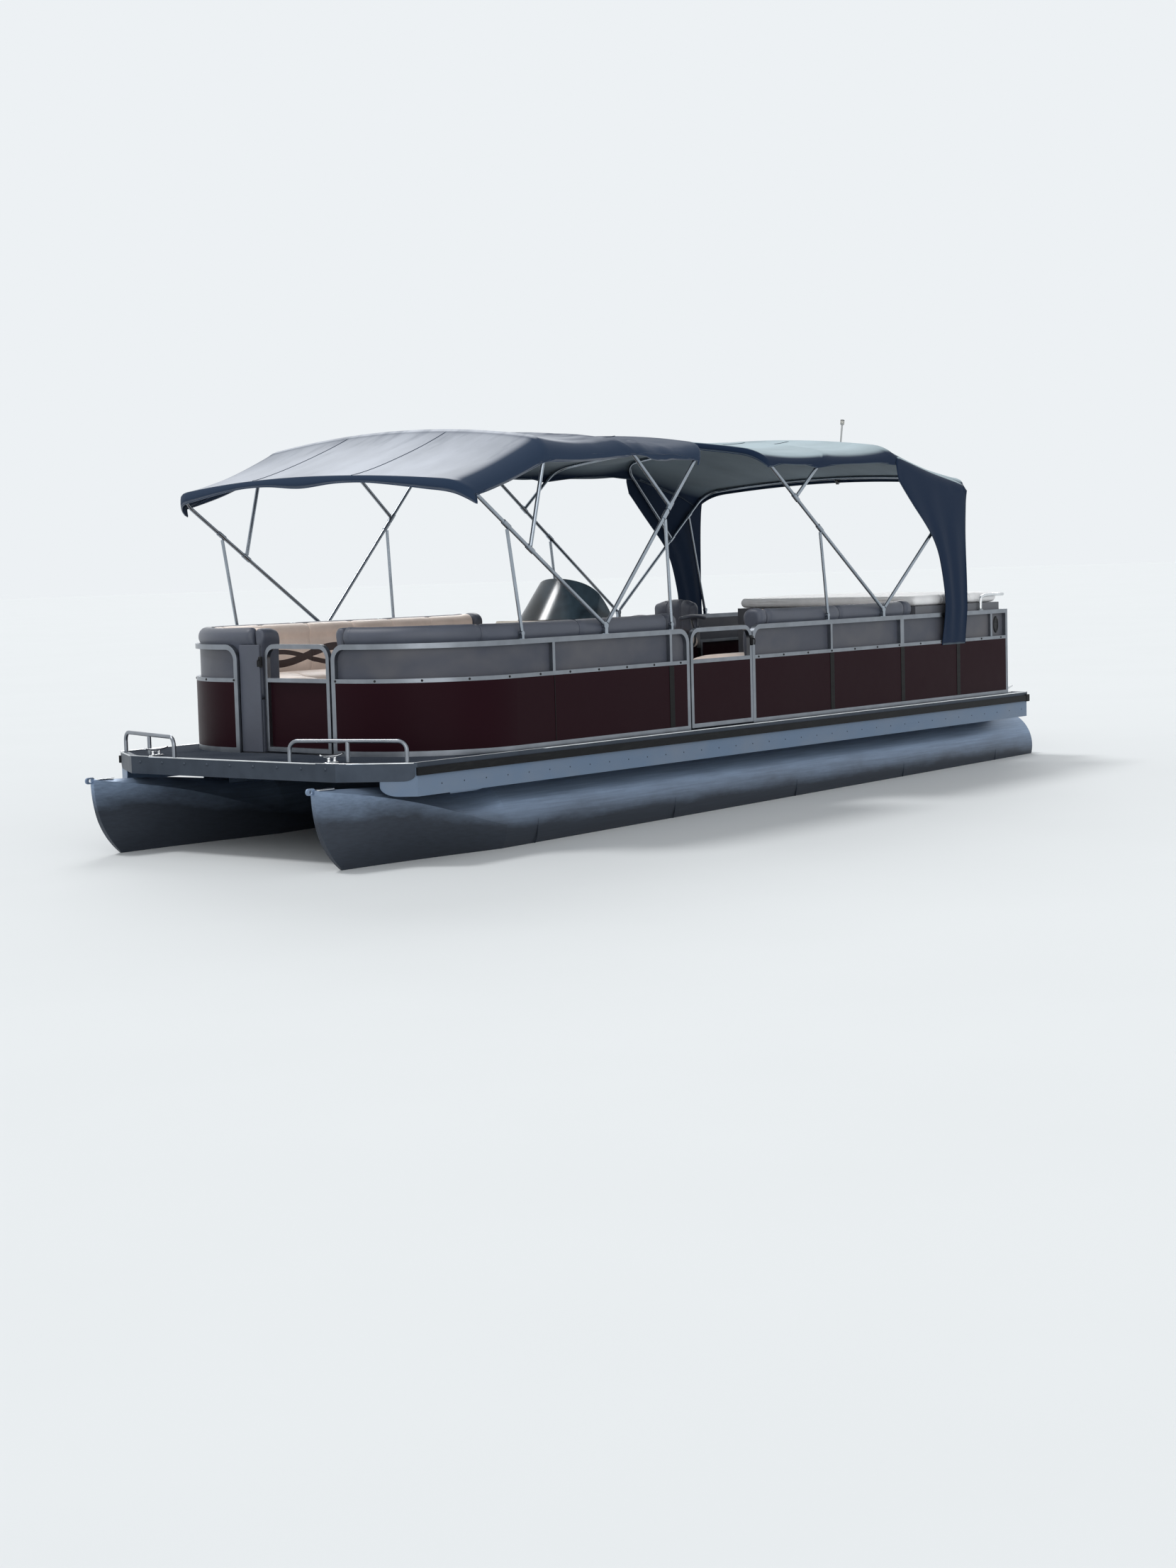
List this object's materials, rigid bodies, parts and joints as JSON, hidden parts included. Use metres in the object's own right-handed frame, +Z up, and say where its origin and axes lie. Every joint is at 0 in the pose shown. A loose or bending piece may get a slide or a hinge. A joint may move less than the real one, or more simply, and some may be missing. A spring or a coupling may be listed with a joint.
{
  "type": "pontoon boat",
  "caption": "Aluminium pontoon boat with a fenced deck, gates, couches, helm, two folding canvas tops and a raised outboard motor.",
  "frame": {"origin": "centre of the bounding box in plan, at the underside of the two keels", "axes": "+X forward to the bow, +Y to port, +Z up"},
  "size_m": [9.4408, 2.59, 2.9525],
  "materials": {
    "tube_aluminium": "bare mill finish, dull",
    "trim_aluminium": "satin",
    "rail_aluminium": "satin anodised",
    "bow_aluminium": "polished",
    "cast_fittings": "cast, polished",
    "deck_carpet": "plywood under short grey marine carpet",
    "rub_vinyl": "dark navy insert",
    "skirt_paint": "satin grey-green",
    "maroon_panel": "gloss maroon",
    "taupe_panel": "gloss taupe-grey",
    "front_canvas": "sun-faded charcoal marine canvas",
    "rear_canvas": "dark navy marine canvas",
    "couch_shell": "moulded taupe",
    "couch_vinyl": "taupe marine vinyl",
    "cream_vinyl": "cream marine vinyl",
    "white_vinyl": "white marine vinyl",
    "console_shell": "moulded cream",
    "tinted_screen": "smoked acrylic",
    "black_plastic": "moulded black",
    "light_staff": "satin, with a clear white lens",
    "motor_castings": "graphite enamel",
    "cowl_gloss": "graphite gloss",
    "engine_metal": "cast"
  },
  "bodies": {
    "hull": {"port_pontoon": "tube_aluminium", "starboard_pontoon": "tube_aluminium", "cross_members": "tube_aluminium", "deck": "deck_carpet", "deck_trim": "trim_aluminium", "rub_rail": "rub_vinyl", "side_skirts": "skirt_paint", "mooring_fittings": "cast_fittings", "bow_rails": "rail_aluminium", "port_bow_fence": "rail_aluminium", "port_aft_fence": "rail_aluminium", "starboard_fence": "rail_aluminium", "stern_fence": "rail_aluminium", "lower_panels": "maroon_panel", "upper_panels": "taupe_panel", "front_bows": "bow_aluminium", "front_braces": "bow_aluminium", "front_canopy": "front_canvas", "rear_bows": "bow_aluminium", "rear_braces": "bow_aluminium", "rear_canopy": "rear_canvas", "rear_curtains": "rear_canvas", "couch_bases": "couch_shell", "port_bow_seat": "cream_vinyl", "port_bow_back": "couch_vinyl", "starboard_bow_seat": "cream_vinyl", "starboard_bow_back": "couch_vinyl", "port_aft_seat": "cream_vinyl", "port_aft_back": "couch_vinyl", "sundeck_pad": "white_vinyl", "helm_console": "console_shell", "windscreen": "tinted_screen", "wheel_column": "black_plastic", "chair_pedestal": "rail_aluminium", "stern_light": "light_staff", "motor_pod": "tube_aluminium", "outboard_clamp": "motor_castings"},
    "side_gate": {"side_gate": "rail_aluminium", "side_gate_panel": "maroon_panel"},
    "bow_gate": {"bow_gate": "rail_aluminium", "bow_gate_panel": "maroon_panel"},
    "stern_gate": {"stern_gate": "rail_aluminium", "stern_gate_panel": "maroon_panel"},
    "outboard_swivel": {"outboard_swivel": "motor_castings"},
    "outboard_motor": {"outboard_leg": "motor_castings", "outboard_cowl": "cowl_gloss", "outboard_engine": "engine_metal"},
    "propeller": {"outboard_propeller": "motor_castings"},
    "helm_wheel": {"helm_wheel": "black_plastic"},
    "chair": {"chair_seat": "cream_vinyl", "chair_back": "couch_vinyl"}
  },
  "joints": [
    {"name": "side_gate_hinge", "type": "hinge", "parent": "hull", "child": "side_gate", "pos_m": [1.411, 1.196, 1.1], "axis": [0, 0, 1], "range_deg": [0, 90]},
    {"name": "bow_gate_hinge", "type": "hinge", "parent": "hull", "child": "bow_gate", "pos_m": [3.92, 0.399, 1.1], "axis": [0, 0, -1], "range_deg": [-4, 86]},
    {"name": "stern_gate_hinge", "type": "hinge", "parent": "hull", "child": "stern_gate", "pos_m": [-2.852, -0.512, 1.1], "axis": [0, 0, 1], "range_deg": [0, 90]},
    {"name": "outboard_tilt", "type": "hinge", "parent": "hull", "child": "outboard_swivel", "pos_m": [-3.66919, 0, 0.82], "axis": [0, 1, 0], "range_deg": [-58, 8]},
    {"name": "outboard_steer", "type": "hinge", "parent": "outboard_swivel", "child": "outboard_motor", "pos_m": [-3.71504, 0, 0.8831], "axis": [0.809, 0, 0.5878], "range_deg": [-30, 30]},
    {"name": "propeller_spin", "type": "hinge", "parent": "outboard_motor", "child": "propeller", "pos_m": [-4.53434, 0, 0.63271], "axis": [0.5878, 0, -0.809], "continuous": true},
    {"name": "helm_wheel_turn", "type": "hinge", "parent": "hull", "child": "helm_wheel", "pos_m": [-0.22644, -0.835, 1.35889], "axis": [-0.8944, 0, 0.4472], "range_deg": [-540, 540]},
    {"name": "chair_swivel", "type": "hinge", "parent": "hull", "child": "chair", "pos_m": [-0.907, -0.76, 1.15], "axis": [0, 0, 1], "continuous": true}
  ],
  "couplings": [
    {"joint": "helm_wheel_turn", "follows": "outboard_steer", "ratio": -18}
  ]
}
